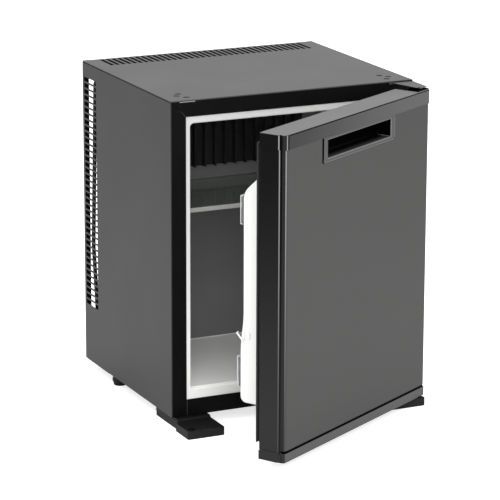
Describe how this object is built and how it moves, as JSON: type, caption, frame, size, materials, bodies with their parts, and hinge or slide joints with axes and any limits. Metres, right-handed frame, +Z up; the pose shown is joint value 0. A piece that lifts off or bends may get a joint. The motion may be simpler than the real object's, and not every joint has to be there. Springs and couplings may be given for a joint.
{
  "type": "built-in refrigerator",
  "caption": "Small built-in refrigerator with a right-hinged door, recessed top grip, glass shelf, clear door balconies and an absorption cooling unit behind.",
  "frame": {"origin": "on the floor plane under the feet, below the middle of the bounding box with the door open as pictured", "axes": "+Z up, -Y towards the room, +X towards the hinged side"},
  "size_m": [0.4027, 0.5956, 0.5013],
  "materials": {
    "graphite_paint": "satin",
    "black_plastic": "satin",
    "graphite_plastic": "satin",
    "white_plastic": "satin",
    "dark_grey_plastic": "satin",
    "grey_trim": "satin",
    "smoked_glass": "gloss",
    "clear_plastic": "gloss",
    "foam": "matte",
    "rubber": "matte",
    "zinc": "satin",
    "black_paint": "satin",
    "black_aluminium": "satin",
    "acetal": "satin"
  },
  "bodies": {
    "cabinet": {"absorber_coil": "black_paint", "absorber_vessel": "black_paint", "back_plate": "graphite_paint", "base_pan": "graphite_paint", "boiler_jacket": "zinc", "boiler_tube": "black_paint", "bottom_hinge_pin": "zinc", "bottom_hinge_plate": "zinc", "cabinet_insulation": "foam", "compartment_back_cover": "dark_grey_plastic", "condenser_fins": "black_aluminium", "condenser_tube": "black_paint", "control_box": "black_plastic", "control_housing": "white_plastic", "evaporator_plate": "black_aluminium", "frame_rail_bottom": "black_plastic", "frame_rail_top": "black_plastic", "frame_stile_left": "black_plastic", "frame_stile_right": "black_plastic", "front_foot_left": "black_plastic", "front_foot_right": "black_plastic", "heater_cartridge": "zinc", "heater_lead": "rubber", "inner_liner": "white_plastic", "lamp_lens": "clear_plastic", "mains_inlet": "black_plastic", "rear_base_tray": "black_paint", "rear_foot_left": "black_plastic", "rear_foot_right": "black_plastic", "shelf_front_trim": "grey_trim", "shelf_glass": "smoked_glass", "shelf_rear_trim": "grey_trim", "side_panel_left": "graphite_paint", "side_panel_right": "graphite_paint", "spare_hinge_strip": "zinc", "spare_hole_plugs": "black_plastic", "thermostat_body": "dark_grey_plastic", "top_hinge_pin": "zinc", "top_hinge_plate": "graphite_paint", "top_hinge_screw_1": "black_paint", "top_hinge_screw_2": "black_paint", "top_hinge_screw_3": "black_paint", "top_panel": "graphite_paint", "unit_bracket": "black_paint", "vent_tube": "black_paint"},
    "door": {"bottle_clip": "white_plastic", "door_bottom_cap": "graphite_plastic", "door_front_panel": "graphite_paint", "door_gasket": "rubber", "door_insulation": "foam", "door_liner": "white_plastic", "door_profile_free": "black_plastic", "door_profile_hinge": "black_plastic", "door_top_cap": "graphite_plastic", "lower_balcony": "clear_plastic", "lower_hinge_bush": "acetal", "upper_balcony": "clear_plastic", "upper_hinge_bush": "acetal"},
    "knob": {"thermostat_knob": "white_plastic"}
  },
  "joints": [
    {"name": "door_hinge", "type": "hinge", "parent": "cabinet", "child": "door", "pos_m": [0.19062, -0.08749, 0.2165], "axis": [0, 0, 1], "range_deg": [-30.84, 84.16]},
    {"name": "thermostat_turn", "type": "hinge", "parent": "cabinet", "child": "knob", "pos_m": [0.14542, 0.04381, 0.4255], "axis": [1, 0, 0], "range_deg": [0, 270]}
  ]
}
